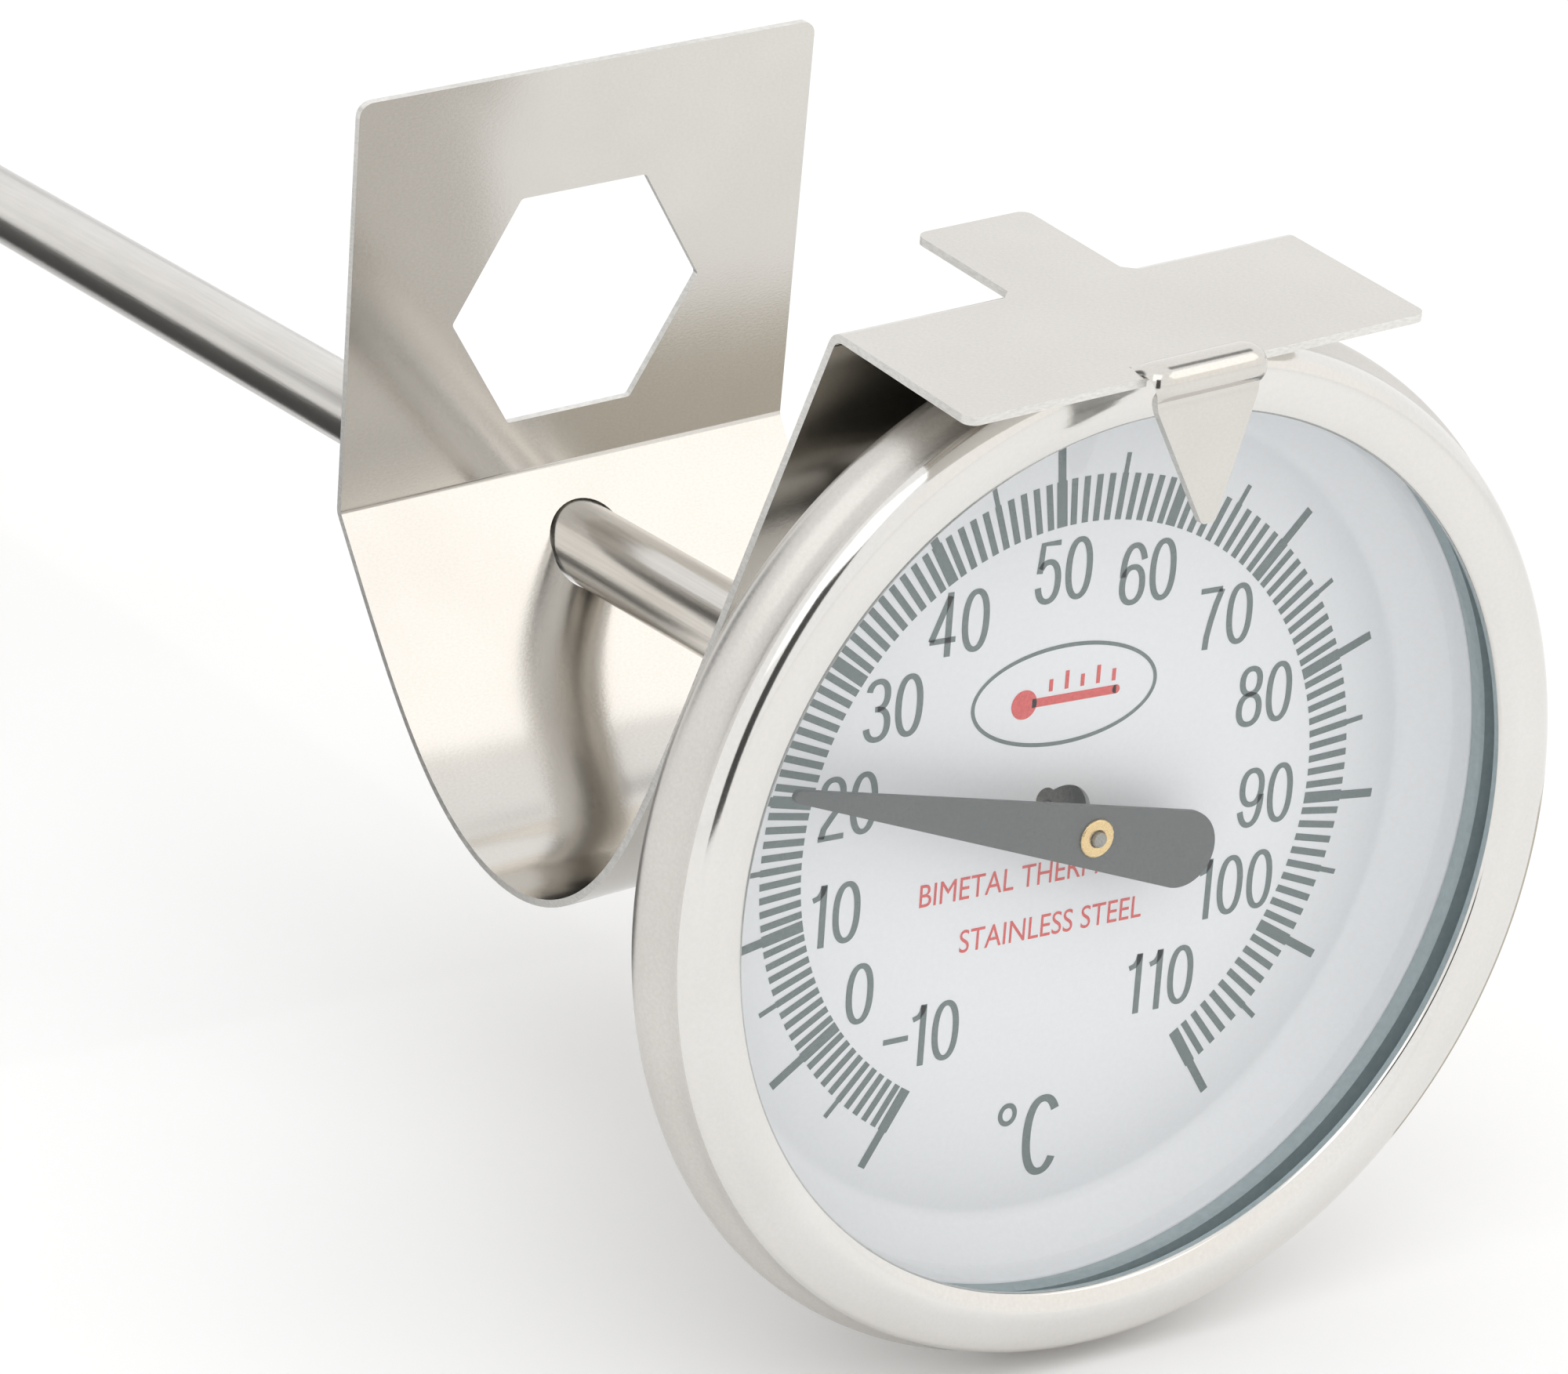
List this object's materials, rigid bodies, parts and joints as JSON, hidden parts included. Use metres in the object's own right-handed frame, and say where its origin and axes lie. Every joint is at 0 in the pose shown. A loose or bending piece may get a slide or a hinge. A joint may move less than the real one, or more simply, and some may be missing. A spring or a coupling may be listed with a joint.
{
  "type": "dial thermometer",
  "caption": "Round bimetal dial thermometer with a straight rear stem and a bent sheet-steel clip that carries a setting marker over the rim.",
  "frame": {"origin": "centre of the bounding box's bottom face: under the rim, half way along the whole length", "axes": "+Z is twelve o'clock on the dial, the dial faces -Y and the stem runs along +Y"},
  "size_m": [0.0508, 0.2182, 0.0528],
  "materials": {
    "bezel": "satin stainless steel, blasted side wall and finely polished front",
    "case": "drawn stainless steel, satin",
    "lens": "clear flat window",
    "gasket": "grey-green seal, matte",
    "dial": "cool white enamel with dark grey-green print",
    "stem": "satin stainless tube",
    "nut": "machined stainless hexagon",
    "seal": "black seal",
    "collar": "turned brass",
    "washer": "spring steel",
    "bushing": "turned brass",
    "coil": "bimetal strip",
    "shaft": "ground steel",
    "pointer": "matte dark grey",
    "hub": "turned brass",
    "clip": "satin rolled stainless sheet"
  },
  "bodies": {
    "head": {"bezel_ring": "bezel", "lens": "lens", "lens_gasket": "gasket", "dial_plate": "dial", "case_shell": "case"},
    "stem": {"stem_tube": "stem", "stem_tip": "stem", "calibration_nut": "nut", "case_seal": "seal", "retaining_collar": "collar", "friction_washer": "washer", "neck_sleeve": "collar", "upper_bushing": "bushing", "middle_bushing": "bushing", "lower_bushing": "bushing", "coil_anchor": "bushing"},
    "pointer_group": {"pointer": "pointer", "pointer_hub": "hub", "pointer_shaft": "shaft", "coil_collar": "bushing", "bimetal_helix": "coil"},
    "clip": {"clip_front": "clip"},
    "clip_leg": {"clip_rear": "clip"}
  },
  "joints": [
    {"name": "calibration_turn", "type": "hinge", "parent": "head", "child": "stem", "pos_m": [0, 0, 0.0254], "axis": [0, 1, 0], "range_deg": [-180, 180]},
    {"name": "pointer_turn", "type": "hinge", "parent": "stem", "child": "pointer_group", "pos_m": [0, 0, 0.0254], "axis": [0, 1, 0], "range_deg": [-73.4, 221.8], "stiffness_Nm_per_rad": 0.0002, "deforming": ["bimetal_helix"]},
    {"name": "clip_turn", "type": "hinge", "parent": "stem", "child": "clip", "pos_m": [0, 0, 0.0254], "axis": [0, 1, 0], "continuous": true},
    {"name": "clip_squeeze", "type": "hinge", "parent": "clip", "child": "clip_leg", "pos_m": [0.0009, -0.06978, 0.01398], "axis": [0.9969, 0, 0.0785], "range_deg": [0, 1], "stiffness_Nm_per_rad": 0.7}
  ]
}
